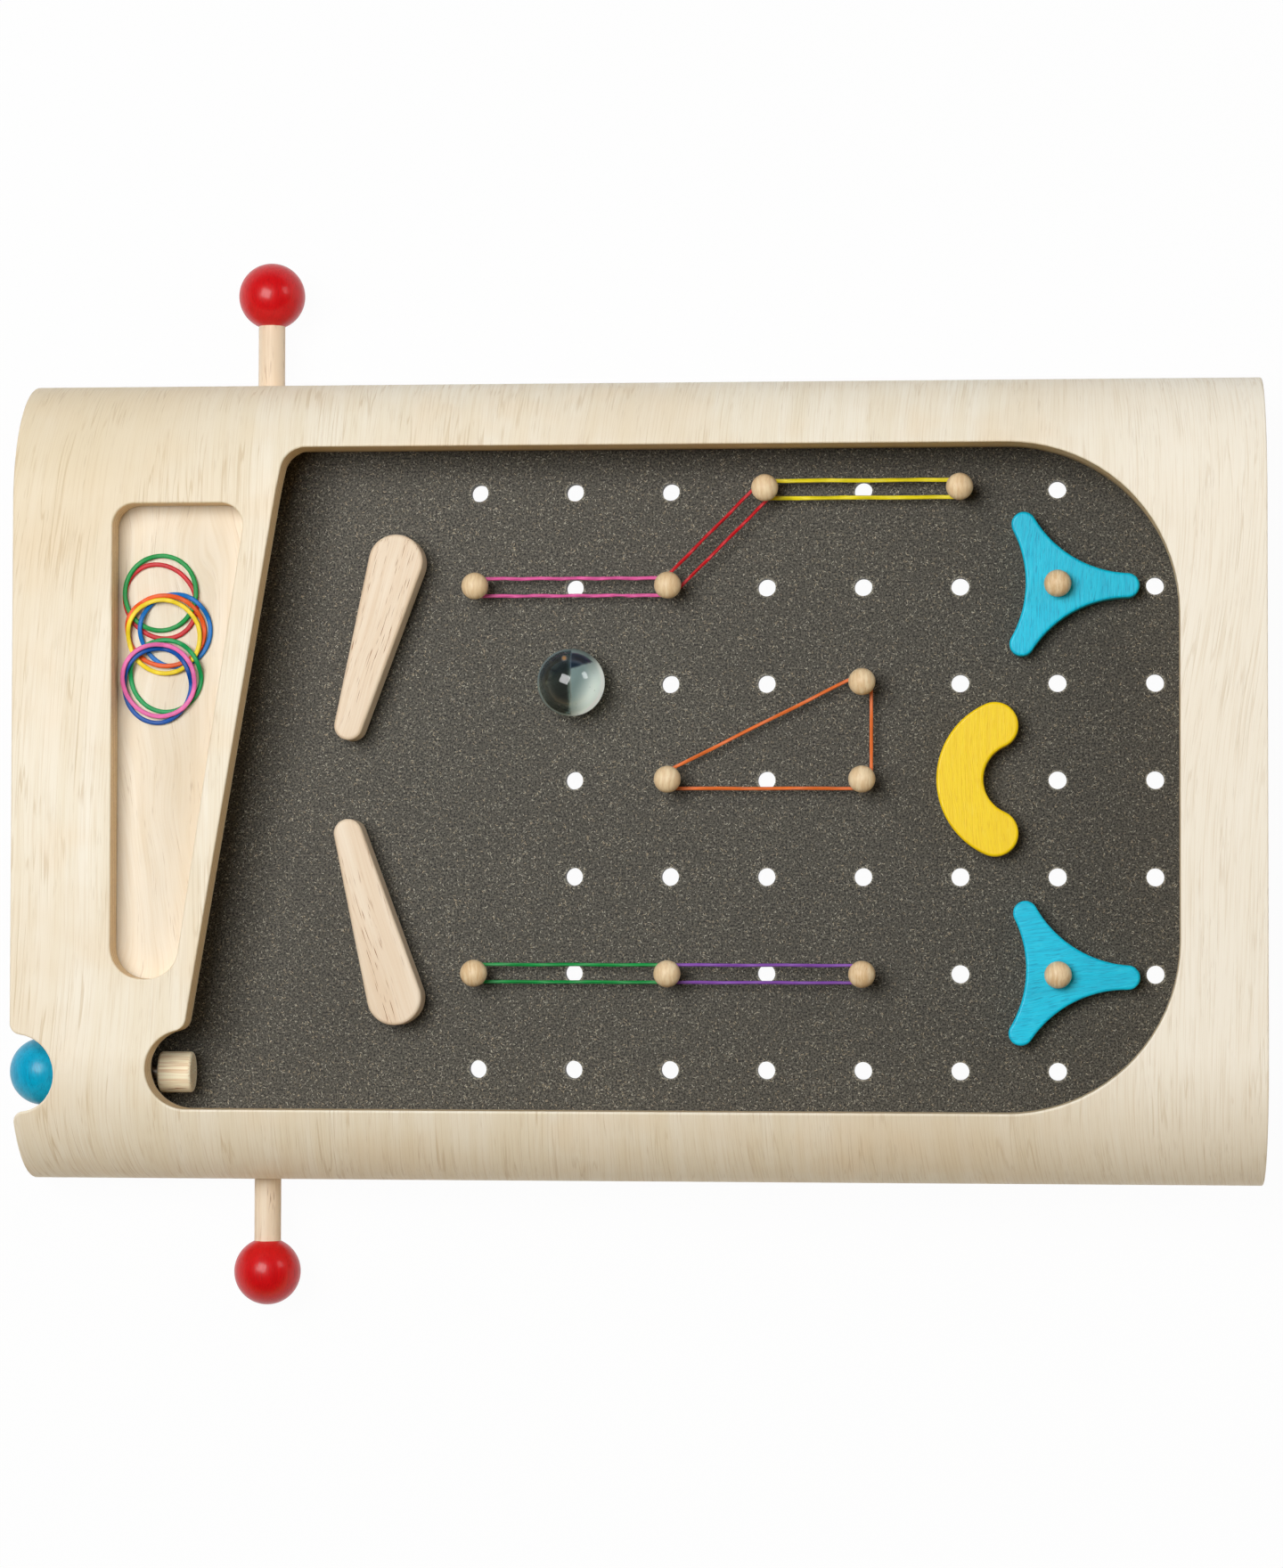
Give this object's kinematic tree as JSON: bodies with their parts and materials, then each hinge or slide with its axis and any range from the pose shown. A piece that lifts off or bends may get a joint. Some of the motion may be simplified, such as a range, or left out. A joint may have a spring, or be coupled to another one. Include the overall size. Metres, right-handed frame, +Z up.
{
  "type": "tabletop pinball game",
  "caption": "Bent plywood table game: a sloping pegged board with rubber bands, spinners, a marble, two push-lever flippers and a sprung plunger.",
  "frame": {"origin": "middle of the bounding box in X and Y, on the table that the body stands on", "axes": "+X up the slope from the plunger's knob to the back, +Y to the player's left, +Z up"},
  "size_m": [0.5632, 0.472, 0.1276],
  "materials": {
    "shell_ply": null,
    "rail_wood": null,
    "board_dark": null,
    "beech": null,
    "peg_wood": null,
    "red_lacquer": null,
    "blue_lacquer": null,
    "spinner_blue": null,
    "crescent_yellow": null,
    "steel": null,
    "spring_steel": null,
    "bush_brass": null,
    "felt_grey": null,
    "washer_nylon": null,
    "marble_glass": null,
    "rubber_pink": null,
    "rubber_red": null,
    "rubber_yellow": null,
    "rubber_orange": null,
    "rubber_green": null,
    "rubber_purple": null,
    "ring_red": null,
    "ring_dark_blue": null,
    "ring_green": null,
    "ring_light_green": null,
    "ring_pink": null,
    "ring_blue": null,
    "ring_orange": null,
    "ring_yellow": null
  },
  "bodies": {
    "frame": {"shell": "shell_ply", "tray_floor": "rail_wood", "playfield": "board_dark", "side_rail_left": "rail_wood", "side_rail_right": "rail_wood", "back_rail": "rail_wood", "front_wall": "rail_wood", "drain_rail": "rail_wood", "ledge_left": "rail_wood", "ledge_right": "rail_wood", "front_batten": "rail_wood", "flipper_washers": "washer_nylon", "plunger_bush": "bush_brass", "felt_washer": "felt_grey", "band_pegs": "peg_wood", "spinner_pegs": "peg_wood", "crescent_pin": "peg_wood", "band_pink": "rubber_pink", "band_red": "rubber_red", "band_yellow": "rubber_yellow", "band_orange": "rubber_orange", "band_green": "rubber_green", "band_purple": "rubber_purple", "loose_red": "ring_red", "loose_dark_blue": "ring_dark_blue", "loose_green": "ring_green", "loose_light_green": "ring_light_green", "loose_pink": "ring_pink", "loose_blue": "ring_blue", "loose_orange": "ring_orange", "loose_yellow": "ring_yellow", "rod_guide_left": "rail_wood", "rod_guide_right": "rail_wood"},
    "plunger": {"plunger_knob": "blue_lacquer", "plunger_rod": "steel", "striker": "beech", "plunger_spring": "spring_steel"},
    "spinner_left": {"spinner_left": "spinner_blue"},
    "spinner_right": {"spinner_right": "spinner_blue"},
    "crescent": {"crescent": "crescent_yellow"},
    "marble": {"marble": "marble_glass"},
    "lever_left": {"push_rod_left": "beech", "lever_ball_left": "red_lacquer", "stop_collar_left": "rail_wood", "push_block_left": "rail_wood", "crank_pin_left": "steel", "return_spring_left": "spring_steel"},
    "flipper_left": {"flipper_left": "beech", "flipper_axle_left": "steel", "crank_arm_left": "rail_wood"},
    "lever_right": {"push_rod_right": "beech", "lever_ball_right": "red_lacquer", "stop_collar_right": "rail_wood", "push_block_right": "rail_wood", "crank_pin_right": "steel", "return_spring_right": "spring_steel"},
    "flipper_right": {"flipper_right": "beech", "flipper_axle_right": "steel", "crank_arm_right": "rail_wood"}
  },
  "joints": [
    {"name": "push_lever_left", "type": "slide", "parent": "frame", "child": "lever_left", "axis": [0, -1, 0], "range_m": [0, 0.02], "stiffness_N_per_m": 150, "springref_m": -0.004, "deforming": ["return_spring_left"]},
    {"name": "flip_left", "type": "hinge", "parent": "frame", "child": "flipper_left", "pos_m": [-0.10801, 0.097, 0.04517], "axis": [-0.0958, 0, 0.9954], "range_deg": [0, 28.08]},
    {"name": "push_lever_right", "type": "slide", "parent": "frame", "child": "lever_right", "axis": [0, 1, 0], "range_m": [0, 0.02], "stiffness_N_per_m": 150, "springref_m": -0.004, "deforming": ["return_spring_right"]},
    {"name": "flip_right", "type": "hinge", "parent": "frame", "child": "flipper_right", "pos_m": [-0.10801, -0.097, 0.04517], "axis": [-0.0958, 0, 0.9954], "range_deg": [-28.08, 0]},
    {"name": "pull_plunger", "type": "slide", "parent": "frame", "child": "plunger", "axis": [-0.9954, 0, -0.0958], "range_m": [0, 0.012], "stiffness_N_per_m": 400, "springref_m": -0.003, "deforming": ["plunger_spring"]},
    {"name": "spin_left", "type": "hinge", "parent": "frame", "child": "spinner_left", "pos_m": [0.18357, 0.086, 0.07927], "axis": [-0.0958, 0, 0.9954], "continuous": true},
    {"name": "spin_right", "type": "hinge", "parent": "frame", "child": "spinner_right", "pos_m": [0.18357, -0.086, 0.07927], "axis": [-0.0958, 0, 0.9954], "continuous": true},
    {"name": "turn_crescent", "type": "hinge", "parent": "frame", "child": "crescent", "pos_m": [0.14077, 0, 0.07515], "axis": [-0.0958, 0, 0.9954], "range_deg": [-90, 90]},
    {"name": "roll_marble", "type": "slide", "parent": "frame", "child": "marble", "axis": [0.9954, 0, 0.0958], "range_m": [-0.036, 0.07]}
  ],
  "couplings": [
    {"joint": "flip_left", "follows": "push_lever_left", "rad_per_m": 24.498},
    {"joint": "flip_right", "follows": "push_lever_right", "rad_per_m": -24.498}
  ]
}
